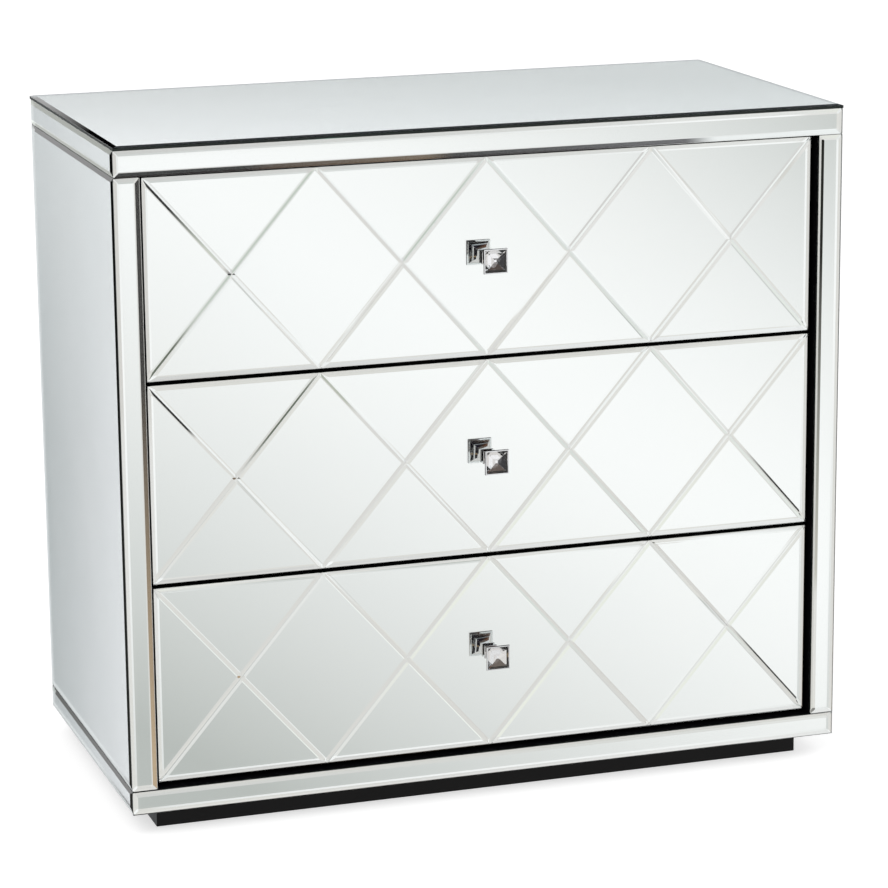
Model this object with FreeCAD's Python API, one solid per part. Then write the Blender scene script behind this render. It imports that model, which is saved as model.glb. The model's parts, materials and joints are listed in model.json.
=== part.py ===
import FreeCAD
import Part
import math
import os

from FreeCAD import Placement, Rotation, Vector

# Mirrored chest of three drawers. x runs to the right, y to the back and z up. The origin is on the
# floor, under the middle of the whole chest with its knobs. All sizes are in millimetres.

# Overall size, without the knobs
width = 914.0
depth = 457.0
height = 838.0

# Mirror glass
glass = 5.0             # thickness of every mirror
bevel = 6.0             # width of the ground bevel along every mirror's edges
bevel_drop = 1.4        # glass ground away at the outer edge of a bevel
joint_gap = 0.5         # open joint between two mirrors that meet

# Bands, stiles and plinth
apron_height = 32.0
base_height = 29.0
stile_width = 31.0
plinth_height = 30.0
plinth_inset = 37.0
plinth_board = 16.0

# Carcass
side_board = 16.0
rail_height = 18.0
rail_depth = 50.0
rail_play = 2.0         # between a closed drawer front and the rail behind it
back_panel = 5.0
back_lap = 10.0         # how far the back panel laps onto the boards round it
back_rebate = 8.0       # depth of the rebate that holds it
back_play = 0.5

# Drawer fronts
drawers = ("bottom", "middle", "top")
front_recess = 12.0     # faces of the drawers behind the faces of the stiles
side_gap = 5.0
bottom_gap = 5.0
between_gap = 4.5
top_gap = 3.0
front_board = 16.0
front_reveal = 1.0      # the mirror stands past its board by this much all round

# Lattice ground into each drawer mirror
lattice_cells = 4
groove_width = 7.0
groove_depth = 1.2

# Drawer boxes
box_board = 12.0
box_lift = 14.0         # lower edge of the box above that of the front
box_headroom = 28.0     # upper edge of the box below that of the front
box_end_room = 36.0     # between the box and the back panel
box_round = 3.0         # rounding of the upper edges of the sides
bottom_panel = 6.0
bottom_rise = 10.0      # bottom panel above the lower edge of the sides
bottom_housing = 5.0    # depth of the housings that hold the bottom panel
bottom_play = 0.2

# Ball-bearing slides, three nested channels on each side of a drawer
slide_width = 12.7
slide_height = 45.0
slide_end_room = 15.0   # the box is longer than its slides by this much at each end
slide_sheet = 1.2
slide_bend = 1.0        # radius inside the bends of the sheet
slide_lip = 1.6
slide_float = 0.8       # between the webs of the cabinet and middle channels
ball_gap = 3.4          # between the flanges, where the balls run
middle_inset = 1.7      # middle channel's lips short of the drawer channel's outer face
drawer_reach = 8.3      # depth of the drawer channel
cabinet_reach = 9.6     # depth of the cabinet channel
batten_height = 60.0

# Knobs
knob_size = 30.0
knob_projection = 32.0  # from the mirror to the crystal's table
bezel_depth = 6.4
bezel_rim = 1.5
bezel_ledge = 2.0       # flat back of the bezel outside the flare
knob_foot = 16.0
foot_depth = 2.5
knob_neck = 10.0
neck_height = 8.0
crystal_stand = 1.6     # table above the rim
crystal_facet = 3.5     # width of the sloping facets round the table
crystal_girdle = 1.0
crystal_depth = 8.5     # rim to the bottom of the pavilion
crystal_culet = 3.0

# Screws
knob_screw = 4.0
knob_screw_head = 8.0
knob_screw_grip = 11.0  # length inside the knob
panel_screw = 3.5
panel_screw_head = 7.0
panel_screw_length = 16.0
head_depth = 2.2
screw_spacing = 150.0
screw_play = 0.1
clear_hole = 0.5        # extra radius where a screw passes through
screw_sides = 10        # flats that stand for the round of a small screw

# Places worked out from the sizes
knob_reach = knob_projection - front_recess
front_y = (knob_reach - depth) / 2
back_y = front_y + depth
board_y = front_y + glass
outer_x = width / 2
board_x = outer_x - glass
inner_x = board_x - side_board
jamb_x = outer_x - stile_width
top_z = height - glass
apron_z = top_z - apron_height
base_z = plinth_height + base_height

mirror_y = front_y + front_recess
front_board_y = mirror_y + glass
box_y = front_board_y + front_board
rail_y = box_y + rail_play
panel_y = back_y - back_rebate
box_end_y = panel_y - box_end_room
slide_y = box_y + slide_end_room
slide_length = box_end_y - slide_end_room - slide_y

front_half = jamb_x - side_gap
gaps = bottom_gap + top_gap + between_gap * (len(drawers) - 1)
front_height = (apron_z - base_z - gaps) / len(drawers)
box_height = front_height - box_lift - box_headroom
box_x = jamb_x - slide_width
box_inner_x = box_x - box_board

lengthwise = Vector(0, 1, 0)
upright = Vector(0, 0, 1)
facings = {
    "front": Rotation(upright, 180),
    "left": Rotation(upright, 90),
    "right": Rotation(upright, -90),
    "up": Rotation(Vector(1, 0, 0), 90),
}


def block(low, high):
    size = Vector(*high) - Vector(*low)
    return Part.makeBox(size.x, size.y, size.z, Vector(*low))


def rod(radius, length, x, y, z):
    # Screw shank, head or hole along y, from its end with the lower y
    turns = [2 * math.pi * side / screw_sides for side in range(screw_sides + 1)]
    corners = [Vector(x + radius * math.cos(turn), y, z + radius * math.sin(turn)) for turn in turns]
    return Part.Face(Part.makePolygon(corners)).extrude(lengthwise * length)


def mirrored(shape):
    # The same piece on the other side of the chest
    return shape.mirror(Vector(0, 0, 0), Vector(1, 0, 0))


def placed(shape, facing, x, y, z):
    # A piece made facing +y, turned and moved to its place
    return shape.transformed(Placement(Vector(x, y, z), facings[facing]).Matrix, True)


def frustum(half, y, half_top, y_top):
    # Square-cornered taper along y; half and half_top are half sizes along x and z
    return Part.makeWedge(-half[0], y, -half[1], -half_top[1], -half_top[0],
                          half[0], y_top, half[1], half_top[1], half_top[0])


def spaced(low, high, spacing):
    steps = max(1, round((high - low) / spacing))
    return [low + (high - low) * step / steps for step in range(steps + 1)]


def pane(across, up):
    # Mirror with its back on y = 0 and its face towards +y, bevelled all round
    half = (across / 2, up / 2)
    inside = (half[0] - bevel, half[1] - bevel)
    edge_y = glass - bevel_drop
    slab = block((-half[0], 0, -half[1]), (half[0], edge_y, half[1]))
    return slab.fuse(frustum(half, edge_y, inside, glass)).removeSplitter()


def groove_cutter(start, end):
    # V section whose point is groove_depth under the face, run past both ends
    along = (end - start).normalize()
    side = along.cross(lengthwise) * groove_width
    origin = start - along * groove_width
    point = origin + lengthwise * (glass - groove_depth)
    brim = origin + lengthwise * (glass + groove_depth)
    section = Part.Face(Part.makePolygon([point, brim + side, brim - side, point]))
    return section.extrude(along * ((end - start).Length + 2 * groove_width))


def lattice_pane(across, up):
    # Two zigzags of grooves, one the other's reflection, cross in every cell
    cell = across / lattice_cells
    cutters = []
    for number in range(lattice_cells):
        left = -across / 2 + number * cell
        for low, high in ((-up / 2, up / 2), (up / 2, -up / 2)):
            cutters.append(groove_cutter(Vector(left, 0, low), Vector(left + cell, 0, high)))
    return pane(across, up).cut(cutters)


def rounded_outline(corners):
    # Closed outline of (point, radius) corners, with an arc wherever the radius isn't 0
    edges = []
    last_end = None
    for number, (point, radius) in enumerate(corners):
        before = (corners[number - 1][0] - point).normalize()
        after = (corners[(number + 1) % len(corners)][0] - point).normalize()
        half_angle = before.getAngle(after) / 2
        start = point + before * (radius / math.tan(half_angle))
        end = point + after * (radius / math.tan(half_angle))
        if radius:
            inward = (before + after).normalize()
            middle = point + inward * (radius / math.sin(half_angle) - radius)
            edges.append(Part.Arc(start, middle, end).toShape())
        if last_end:
            edges.append(Part.makeLine(last_end, start))
        else:
            first_start = start
        last_end = end
    edges.append(Part.makeLine(last_end, first_start))
    return Part.Face(Part.Wire(Part.__sortEdges__(edges)))


def channel(web, reach, half_height):
    # Rolled channel seen along y: web at x = web, flanges as far as x = reach, lips turned in
    step = math.copysign(slide_sheet, reach - web)
    flange = half_height - slide_sheet
    lip = flange - slide_lip
    outer_bend = slide_bend + slide_sheet
    upper = [(web, half_height, outer_bend), (reach, half_height, outer_bend),
             (reach, lip, 0), (reach - step, lip, 0),
             (reach - step, flange, slide_bend), (web + step, flange, slide_bend)]
    lower = [(x, -z, radius) for x, z, radius in reversed(upper)]
    outline = rounded_outline([(Vector(x, 0, z), radius) for x, z, radius in upper + lower])
    return outline.extrude(lengthwise * slide_length)


def pair(shape, y, z):
    # The channels of the right-hand and left-hand slides of one drawer
    right = shape.translated(Vector(0, y, z))
    return Part.Compound([right, mirrored(right)])


def cabinet_channel():
    return channel(jamb_x, jamb_x - cabinet_reach, slide_height / 2)


def middle_channel():
    web = jamb_x - slide_sheet - slide_float
    reach = jamb_x - slide_width + middle_inset
    half_height = slide_height / 2 - slide_sheet - ball_gap
    return channel(web, reach, half_height)


def drawer_channel():
    half_height = slide_height / 2 - 2 * (slide_sheet + ball_gap)
    return channel(box_x, box_x + drawer_reach, half_height)


def crystal():
    # Square-cut stone along y: pavilion, girdle and crown with a flat table
    rim_y = knob_projection - crystal_stand
    girdle = (knob_size / 2 - bezel_rim,) * 2
    table = (girdle[0] - crystal_facet,) * 2
    culet = (crystal_culet / 2,) * 2
    low_y = rim_y - crystal_girdle
    band = block((-girdle[0], low_y, -girdle[1]), (girdle[0], rim_y, girdle[1]))
    crown = frustum(girdle, rim_y, table, knob_projection)
    pavilion = frustum(culet, rim_y - crystal_depth, girdle, low_y)
    return band.fuse([crown, pavilion]).removeSplitter()


def flare(neck, end):
    # Arc that leaves the neck parallel to y and curves out to the end point
    rise = end - neck
    radius = rise.Length ** 2 / (2 * abs(rise.x))
    centre = neck + Vector(math.copysign(radius, rise.x), 0, 0)
    half_turn = math.asin(abs(rise.y) / radius) / 2
    middle = centre + Vector(-math.copysign(radius * math.cos(half_turn), rise.x),
                             math.copysign(radius * math.sin(half_turn), rise.y), 0)
    return Part.Arc(neck, middle, end).toShape()


def knob_prism():
    # Outline of the knob seen from above, made as long as the knob is wide
    bezel_y = knob_projection - crystal_stand
    ledge_y = bezel_y - bezel_depth
    half_outline = []
    for side in (1, -1):
        foot = Vector(side * knob_foot / 2, 0, 0)
        foot_top = Vector(side * knob_foot / 2, foot_depth, 0)
        neck = Vector(side * knob_neck / 2, neck_height, 0)
        cup = Vector(side * (knob_size / 2 - bezel_ledge), ledge_y, 0)
        ledge = Vector(side * knob_size / 2, ledge_y, 0)
        rim = Vector(side * knob_size / 2, bezel_y, 0)
        half_outline += [
            Part.makeLine(Vector(0, 0, 0), foot),
            Part.makeLine(foot, foot_top),
            flare(neck, foot_top),
            flare(neck, cup),
            Part.makeLine(cup, ledge),
            Part.makeLine(ledge, rim),
            Part.makeLine(rim, Vector(0, bezel_y, 0)),
        ]
    outline = Part.Wire(Part.__sortEdges__(half_outline))
    prism = Part.Face(outline).extrude(Vector(0, 0, knob_size))
    return prism.translated(Vector(0, 0, -knob_size / 2))


def knob_body():
    prism = knob_prism()
    turned = prism.rotated(Vector(0, 0, 0), lengthwise, 90)
    screw_hole = rod(knob_screw / 2 + screw_play, knob_screw_grip + screw_play, 0, 0, 0)
    return prism.common(turned).cut([crystal(), screw_hole])


def knob_screw_shape():
    # The head bears on the inside of the front board, and the tip ends in the knob
    under_head = -(glass + front_board)
    shank = rod(knob_screw / 2, knob_screw_grip - under_head, 0, under_head, 0)
    head = rod(knob_screw_head / 2, head_depth, 0, under_head - head_depth, 0)
    return shank.fuse(head)


def drawer(name, bottom_z):
    top_z_of_front = bottom_z + front_height
    middle_z = (bottom_z + top_z_of_front) / 2
    box_z = bottom_z + box_lift
    box_top_z = box_z + box_height
    slide_z = box_z + box_height / 2
    back_y_of_box = box_end_y - box_board

    panel_z = box_z + bottom_rise
    panel_x = box_inner_x + bottom_housing
    panel_front_y = box_y - bottom_housing
    panel_back_y = back_y_of_box + bottom_housing
    housing = block((-panel_x, panel_front_y, panel_z),
                    (panel_x, panel_back_y, panel_z + bottom_panel + bottom_play))
    panel = block((-panel_x + bottom_play, panel_front_y + bottom_play, panel_z),
                  (panel_x - bottom_play, panel_back_y - bottom_play, panel_z + bottom_panel))

    board_half = front_half - front_reveal
    front = block((-board_half, front_board_y, bottom_z + front_reveal),
                  (board_half, box_y, top_z_of_front - front_reveal))
    hole_radius = knob_screw / 2 + clear_hole
    hole = rod(hole_radius, glass + front_board, 0, mirror_y, middle_z)
    front = front.cut([housing, hole])

    side = block((box_inner_x, box_y, box_z), (box_x, box_end_y, box_top_z))
    top_edges = [edge for edge in side.Edges if edge.BoundBox.ZMin > box_top_z - box_round
                 and edge.BoundBox.YLength > box_board]
    side = side.makeFillet(box_round, top_edges).cut(housing)
    back = block((-box_inner_x, back_y_of_box, box_z), (box_inner_x, box_end_y, box_top_z))

    mirror = placed(lattice_pane(front_half * 2, front_height), "front",
                    0, front_board_y, middle_z)
    prefix = name + "_drawer_"
    return {
        prefix + "mirror": mirror.cut(hole),
        prefix + "front_board": front,
        prefix + "side_right": side,
        prefix + "side_left": mirrored(side),
        prefix + "back": back.cut(housing),
        prefix + "bottom": panel,
        prefix + "knob": placed(knob_body(), "front", 0, mirror_y, middle_z),
        prefix + "crystal": placed(crystal(), "front", 0, mirror_y, middle_z),
        prefix + "knob_screw": placed(knob_screw_shape(), "front", 0, mirror_y, middle_z),
        prefix + "slide_channels": pair(drawer_channel(), slide_y, slide_z),
        name + "_slide_middle_channels": pair(middle_channel(), slide_y, slide_z),
    }


def slide_heights():
    box_middle = box_lift + box_height / 2
    return [front_bottom(number) + box_middle for number in range(len(drawers))]


def front_bottom(number):
    return base_z + bottom_gap + number * (front_height + between_gap)


def panel_screws():
    # Screw places round the back panel, in the middle of its laps
    edge_x = inner_x + back_lap / 2
    low_z = base_z - back_lap / 2
    high_z = apron_z + back_lap / 2
    places = [(x, z) for x in spaced(-edge_x, edge_x, screw_spacing) for z in (low_z, high_z)]
    inner_heights = spaced(low_z, high_z, screw_spacing)[1:-1]
    places += [(x, z) for x in (-edge_x, edge_x) for z in inner_heights]
    return places


def screw_set(extra_radius):
    # Pan-head screws, or with some extra radius the holes that take them
    screws = []
    for x, z in panel_screws():
        seat = panel_y + back_panel
        shank = rod(panel_screw / 2 + extra_radius, panel_screw_length,
                    x, seat - panel_screw_length, z)
        head = rod(panel_screw_head / 2, head_depth, x, seat, z)
        screws.append(shank if extra_radius else shank.fuse(head))
    return screws


def carcass():
    recess_x = inner_x + back_lap
    recess = block((-recess_x, panel_y, base_z - back_lap), (recess_x, back_y, apron_z + back_lap))
    pilots = screw_set(screw_play)
    clearances = screw_set(clear_hole)

    top = block((-board_x, board_y, apron_z), (board_x, back_y, top_z))
    bottom = block((-board_x, board_y, plinth_height), (board_x, back_y, base_z))
    side = block((inner_x, rail_y, base_z), (board_x, back_y, apron_z))
    post = block((jamb_x, board_y, base_z), (board_x, rail_y, apron_z))
    side_right = side.cut([recess] + pilots)

    panel_x = recess_x - back_play
    panel = block((-panel_x, panel_y, base_z - back_lap + back_play),
                  (panel_x, panel_y + back_panel, apron_z + back_lap - back_play))

    battens = []
    for z in slide_heights():
        batten = block((jamb_x, rail_y, z - batten_height / 2),
                       (inner_x, panel_y, z + batten_height / 2))
        battens += [batten, mirrored(batten)]
    channels = [pair(cabinet_channel(), slide_y, z) for z in slide_heights()]

    nodes = {
        "top_board": top.cut([recess] + pilots),
        "bottom_board": bottom.cut([recess] + pilots),
        "side_board_right": side_right,
        "side_board_left": mirrored(side_right),
        "stile_post_right": post,
        "stile_post_left": mirrored(post),
        "back_panel": panel.cut(clearances),
        "back_panel_screws": Part.Compound(screw_set(0)),
        "runner_battens": Part.Compound(battens),
        "cabinet_slide_channels": Part.Compound([shape for both in channels for shape in both.Solids]),
    }
    for number, name in ((1, "lower"), (2, "upper")):
        z = front_bottom(number) - between_gap / 2
        nodes["divider_rail_" + name] = block((-inner_x, rail_y, z - rail_height / 2),
                                              (inner_x, rail_y + rail_depth, z + rail_height / 2))
    return nodes


def plinth():
    end_x = outer_x - plinth_inset
    start_y = front_y + plinth_inset
    end_y = back_y - plinth_inset
    side = block((end_x - plinth_board, start_y + plinth_board, 0),
                 (end_x, end_y - plinth_board, plinth_height))
    return {
        "plinth_front": block((-end_x, start_y, 0), (end_x, start_y + plinth_board, plinth_height)),
        "plinth_back": block((-end_x, end_y - plinth_board, 0), (end_x, end_y, plinth_height)),
        "plinth_right": side,
        "plinth_left": mirrored(side),
    }


def mirrors():
    side_length = depth - glass - joint_gap
    side_y = (board_y + back_y) / 2
    panel_height = apron_z - base_z - joint_gap
    panel_z = (apron_z + base_z) / 2
    stile_x = outer_x - stile_width / 2
    stile = placed(pane(stile_width, panel_height), "front", stile_x, board_y, panel_z)
    nodes = {
        "top_mirror": placed(pane(width, depth), "up", 0, (front_y + back_y) / 2, top_z),
        "stile_mirror_right": stile,
        "stile_mirror_left": mirrored(stile),
    }
    bands = (("apron", apron_height, (apron_z + top_z) / 2),
             ("base", base_height, (plinth_height + base_z) / 2))
    for name, band_height, z in bands:
        band = pane(width - joint_gap, band_height - joint_gap)
        nodes[name + "_mirror_front"] = placed(band, "front", 0, board_y, z)
    rows = bands + (("side", apron_z - base_z, panel_z),)
    for name, row_height, z in rows:
        for facing, x in (("left", -board_x), ("right", board_x)):
            sheet = pane(side_length, row_height - joint_gap)
            nodes[name + "_mirror_" + facing] = placed(sheet, facing, x, side_y, z)
    return nodes


def chest():
    nodes = {**carcass(), **plinth(), **mirrors()}
    for number, name in enumerate(drawers):
        nodes.update(drawer(name, front_bottom(number)))
    return nodes


os.makedirs("parts", exist_ok=True)
for node, shape in chest().items():
    shape.exportStep("parts/" + node + ".step")
    print(node, len(shape.Solids), "solids,", round(shape.Volume / 1000, 1), "cm3")
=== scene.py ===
import json
import math

import bmesh
import bpy
from mathutils import Matrix, Vector


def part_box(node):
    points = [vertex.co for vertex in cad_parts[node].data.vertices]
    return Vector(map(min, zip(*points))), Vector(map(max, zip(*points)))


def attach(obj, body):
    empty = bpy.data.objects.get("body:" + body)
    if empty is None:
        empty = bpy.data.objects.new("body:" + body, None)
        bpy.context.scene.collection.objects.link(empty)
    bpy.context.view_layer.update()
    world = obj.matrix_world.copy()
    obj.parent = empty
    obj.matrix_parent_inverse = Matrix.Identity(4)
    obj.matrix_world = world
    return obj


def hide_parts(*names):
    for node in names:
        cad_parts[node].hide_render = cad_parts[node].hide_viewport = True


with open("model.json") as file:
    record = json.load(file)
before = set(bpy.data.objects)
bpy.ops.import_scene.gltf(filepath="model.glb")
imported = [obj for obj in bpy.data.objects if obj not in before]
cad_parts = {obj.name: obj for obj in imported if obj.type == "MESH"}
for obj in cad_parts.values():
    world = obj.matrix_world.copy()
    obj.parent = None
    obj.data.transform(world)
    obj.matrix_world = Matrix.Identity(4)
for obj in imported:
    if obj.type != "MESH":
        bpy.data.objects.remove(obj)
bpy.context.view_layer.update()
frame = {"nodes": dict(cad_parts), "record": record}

# Mirrored chest of three drawers: silvered float glass over black boards, crystal knobs,
# light wooden drawer boxes on ball-bearing slides. Everything is in metres in the chest's own frame.

mm = 0.001
near = 0.01 * mm          # vertices this near a face's plane count as on it
drawerNames = ("bottom", "middle", "top")
nodes = frame["nodes"]


# Small helpers

def hexColour(code):
    # sRGB hex to the linear values that shaders use
    shares = [int(code[i:i + 2], 16) / 255 for i in (1, 3, 5)]
    return tuple(s / 12.92 if s <= 0.04045 else ((s + 0.055) / 1.055) ** 2.4 for s in shares) + (1,)


def addNode(tree, kind, inputs=None, **settings):
    # One node with its settings. inputs maps a socket to a value, to the socket that feeds it,
    # or to a node, whose first output in use then feeds it
    node = tree.nodes.new(kind)
    for name, value in settings.items():
        setattr(node, name, value)
    for key, value in (inputs or {}).items():
        if isinstance(value, bpy.types.Node):
            value = next(output for output in value.outputs if output.enabled)
        if isinstance(value, bpy.types.NodeSocket):
            tree.links.new(value, node.inputs[key])
        else:
            node.inputs[key].default_value = value
    return node


def newMaterial(name):
    material = bpy.data.materials.new(name)
    material.use_nodes = True
    material.node_tree.nodes.clear()
    return material, material.node_tree


def objectPoint(tree, scale=(1, 1, 1)):
    # Object coordinates are metres in the chest's frame, because every piece's object sits at the origin
    place = addNode(tree, "ShaderNodeTexCoord").outputs["Object"]
    return addNode(tree, "ShaderNodeMapping", {"Vector": place, "Scale": scale})


# Camera

cameraPlace = {
    "x": -1.3492, "y": -4.1171, "z": 1.4581,
    "turnRight": 18.281, "tiltDown": 13.729, "roll": -0.54,  # degrees
    "lens": 142.5, "sensor": 36,                             # millimetres
    "far": 100,
}


def placeCamera(place):
    camera = bpy.data.objects.new("camera", bpy.data.cameras.new("camera"))
    bpy.context.scene.collection.objects.link(camera)
    camera.data.lens = place["lens"]
    camera.data.sensor_width = place["sensor"]
    camera.data.clip_end = place["far"]
    aim = Matrix.Rotation(-math.radians(place["turnRight"]), 4, "Z")
    tilt = Matrix.Rotation(math.radians(90 - place["tiltDown"]), 4, "X")
    roll = Matrix.Rotation(math.radians(place["roll"]), 4, "Z")
    camera.matrix_world = Matrix.Translation((place["x"], place["y"], place["z"])) @ aim @ tilt @ roll
    bpy.context.scene.camera = camera


placeCamera(cameraPlace)
print("stage: camera")


# Stage: a pale sweep, soft light, and the studio that the glass mirrors

floorLook = {
    "reach": 60.0,
    "colour": "#d0d0d0",
    "fill": 0.62,          # white that the camera sees over the shadow
}


def floorMaterial(look):
    # Matt white studio sweep, pale to the camera with the chest's shadow kept
    material, tree = newMaterial("whiteSweep")
    camera = addNode(tree, "ShaderNodeLightPath").outputs["Is Camera Ray"]
    strength = addNode(tree, "ShaderNodeMath", {0: camera, 1: look["fill"]}, operation="MULTIPLY")
    matt = addNode(tree, "ShaderNodeBsdfDiffuse", {"Color": hexColour(look["colour"])})
    fill = addNode(tree, "ShaderNodeEmission", {"Color": hexColour("#ffffff"), "Strength": strength})
    both = addNode(tree, "ShaderNodeAddShader", {0: matt, 1: fill})
    addNode(tree, "ShaderNodeOutputMaterial", {"Surface": both})
    return material


def buildFloor(look):
    mesh = bpy.data.meshes.new("floor")
    r = look["reach"] / 2
    mesh.from_pydata([(-r, -r, 0), (r, -r, 0), (r, r, 0), (-r, r, 0)], [], [(0, 1, 2, 3)])
    floor = bpy.data.objects.new("floor", mesh)
    bpy.context.scene.collection.objects.link(floor)
    mesh.materials.append(floorMaterial(look))
    floor.visible_glossy = False          # mirrors and metal show the studio that buildStudio paints
    floor.visible_transmission = False


studioLook = {
    "ambient": 0.8,
    "ground": "#d4d8d8", "groundFront": "#e4e2de",      # below the horizon, and that part of it in front
    "sky": "#f4f6f6", "zenith": "#ccd4d9",
    "horizon": (1, 5), "skyFrom": 15,                   # degrees of height
    "turnSoft": 0.1,                                    # how gradually front gives way to behind
    # The big lit scrim in front, brightest along a slanting ridge. It lies on a plane one unit ahead,
    # x to the right and z downwards
    "scrimLit": "#ffffff", "scrimShaded": "#bdc0bd",
    "scrimX": (0.228, 0.464), "scrimZ": (0.160, 0.368), "scrimSoft": 0.008,
    "ridge": 0.0098, "ridgeSlant": 1.4345,
    "left": {"side": -1.0, "power": 1.445, "fall": 6.9},
    "right": {"side": 1.0, "power": 2.0, "fall": 16.0},
    "mostFall": 1.2, "leastAhead": 0.05,
}

flagBlack = "#06030c"

# Cards, flags and dark room corners round the chest. A patch spans degrees of bearing and of height,
# and where it has four colours they stand at its lower left, lower right, upper left and upper right.
# In front the bearing runs from straight ahead to the chest's right, and behind from straight behind.
studioPatches = {
    "front": [
        {"bearing": (-2, 12), "height": (-36, 1.5), "soft": 1.5, "colour": "#e1dfdc"},
        {"bearing": (12, 27), "height": (-4.2, 4.4), "soft": 0.7,
         "colours": ("#d9d7d5", "#eae9e8", "#d2d2d1", "#f3f4f5"), "across": (13.5, 22)},
        {"bearing": (12, 27), "height": (-27.5, -22.2), "soft": 1.0,
         "colours": ("#dad9d7", "#e3e2df", "#cfcecd", "#eaeae9"), "across": (13.5, 25)},
        {"bearing": (26.3, 31.4), "height": (-13.4, -7.5), "soft": 0.8, "colour": "#d9d6d3"},
        {"bearing": (24.5, 34), "height": (-17.6, -13.4), "soft": 0.8, "colour": "#e7e5e3"},
        {"bearing": (23.7, 30), "height": (-6.8, 1), "soft": 0.8, "colour": "#fdfefe"},
        {"bearing": (27, 38), "height": (-0.8, 8), "soft": 1.0, "colour": "#fdfefe"},
        {"bearing": (27, 34), "height": (-28, -21), "soft": 1.5, "colour": "#eeefe7"},
        {"bearing": (2.6, 11.2), "height": (-6.5, 0.8), "soft": 0.8, "colour": "#e8e9e6"},
        {"bearing": (2.4, 11.2), "height": (0.8, 8), "soft": 0.8, "colour": "#fafcfb"},
        {"bearing": (1.2, 11.7), "height": (-34, -21.5), "soft": 0.8,
         "colours": ("#dfe3df", "#f7f9f4", "#e8ece9", "#fbfcfb"), "across": (3, 9.5), "gradient": (-26, -23)},
        # dark stand with a wooden foot, left of the camera, and the shadow under it
        {"bearing": (-3.5, 0.1), "height": (-20.5, -8.5), "soft": 0.7,
         "colours": ("#bba283", "#bba283", "#0f0b0d", "#0f0b0d"), "gradient": (-18.6, -12.6)},
        {"bearing": (-12, 2.2), "height": (-23.1, -20.6), "soft": 0.5, "colour": "#20261f"},
        {"bearing": (-12, -1.3), "height": (-26.0, -22.7), "soft": 0.2,
         "colours": ("#ced2c8", "#d4d6ce", "#030503", "#b4bcb0"),
         "across": (-2.35, -1.6), "gradient": (-25.75, -24.95)},
        {"bearing": (-12, -0.9), "height": (-29.3, -26.2), "soft": 0.25,
         "colours": ("#070904", "#bcc0b4", "#070904", "#bcc0b4"), "across": (-2.2, -1.2)},
        {"bearing": (-8, -0.5), "height": (0.3, 2.3), "soft": 0.8, "colour": "#666e61"},
        {"bearing": (-8, 2.2), "height": (2.3, 6), "soft": 0.8, "colour": "#c6cec5"},
        # black flags to the left, a brown box on the floor in front of one, and the dark roof
        {"bearing": (-130, -97), "height": (-42, 38), "soft": 1.5, "colour": flagBlack},
        {"bearing": (-83, -52.3), "height": (-15.6, 38), "soft": 1.0, "colour": flagBlack},
        {"bearing": (-52.3, -16.5), "height": (-0.5, 38), "soft": 1.0, "colour": flagBlack},
        {"bearing": (-22, -16.5), "height": (-17, 0.5), "soft": 1.0, "colour": flagBlack},
        {"bearing": (-83, -60), "height": (-42, -15.6), "soft": 0.6, "colour": flagBlack},
        {"bearing": (-83, -62), "height": (-18.2, -15.9), "soft": 0.8, "colour": "#9c8056"},
        {"bearing": (-180, 180), "height": (46, 120), "soft": 2.0,
         "colours": ("#665c54", "#6b4a36", "#121120", "#1c1718"), "across": (33, 48), "gradient": (54, 68)},
        # dark doorway right of the camera
        {"bearing": (31.7, 33.4), "height": (-16, -7), "soft": 0.6,
         "colours": ("#d0cec6", "#d0cec6", "#2a2a28", "#2a2a28"), "gradient": (-16.5, -10.6)},
        # the dark room above the scrim, with a shelf in it
        {"bearing": (11.5, 22.4), "height": (3.6, 34), "soft": 0.6,
         "colours": ("#050405", "#747478", "#050405", "#3c393b"), "across": (17.6, 22.2), "gradient": (4, 9)},
        {"bearing": (15.1, 18.1), "height": (3.6, 9), "soft": 0.6,
         "colours": ("#44362d", "#705f4d", "#44362d", "#705f4d")},
    ],
    "behind": [
        # behind and to the left: what the left side shows
        {"bearing": (-40, 2), "height": (-25, -1.5), "soft": 1.5,
         "colours": ("#eeeff2", "#c0c4c6", "#eef0f2", "#d5d8da"),
         "across": (-13, -11.6), "gradient": (-13.5, -9)},
        {"bearing": (-17, -13.7), "height": (-7, -1), "soft": 0.6, "colour": "#ffffff"},
        {"bearing": (-17.5, -13), "height": (-2.45, -0.5), "soft": 0.15, "colour": "#fbfff8", "level": 1.5},
        {"bearing": (-21.5, -17.6), "height": (-13, -9.8), "soft": 0.4,
         "colours": ("#ffffff", "#c6c8c5", "#ffffff", "#c6c8c5"), "across": (-19.6, -18.3)},
        {"bearing": (-9.5, -5), "height": (-15.5, -11.5), "soft": 1.0, "colour": "#fbfff9", "level": 1.25},
        {"bearing": (-33, -21), "height": (-21, -8), "soft": 1.0,
         "colours": ("#5f605b", "#5f605b", "#101111", "#101111"), "gradient": (-19, -9)},
        # the ceiling behind: what the top shows
        {"bearing": (8, 40), "height": (5, 9.3), "soft": 0.5,
         "colours": ("#e2e5e6", "#e0e4e5", "#fbfdff", "#f4f8fa"), "across": (13, 25), "gradient": (7.8, 8.8)},
        {"bearing": (10.5, 40), "height": (9.4, 13), "soft": 0.5, "colour": "#e2e5e7"},
        {"bearing": (7, 38), "height": (15, 46), "soft": 1.0, "colour": "#84898e"},
        {"bearing": (3, 36), "height": (13.05, 15.2), "soft": 0.3, "colour": "#0d0c0e"},
        {"bearing": (4, 10.3), "height": (9.5, 13.6), "soft": 0.3,
         "colours": ("#ffffff", "#ffffff", "#0d0c0e", "#0d0c0e"), "gradient": (12.45, 13.2)},
    ],
}


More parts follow.
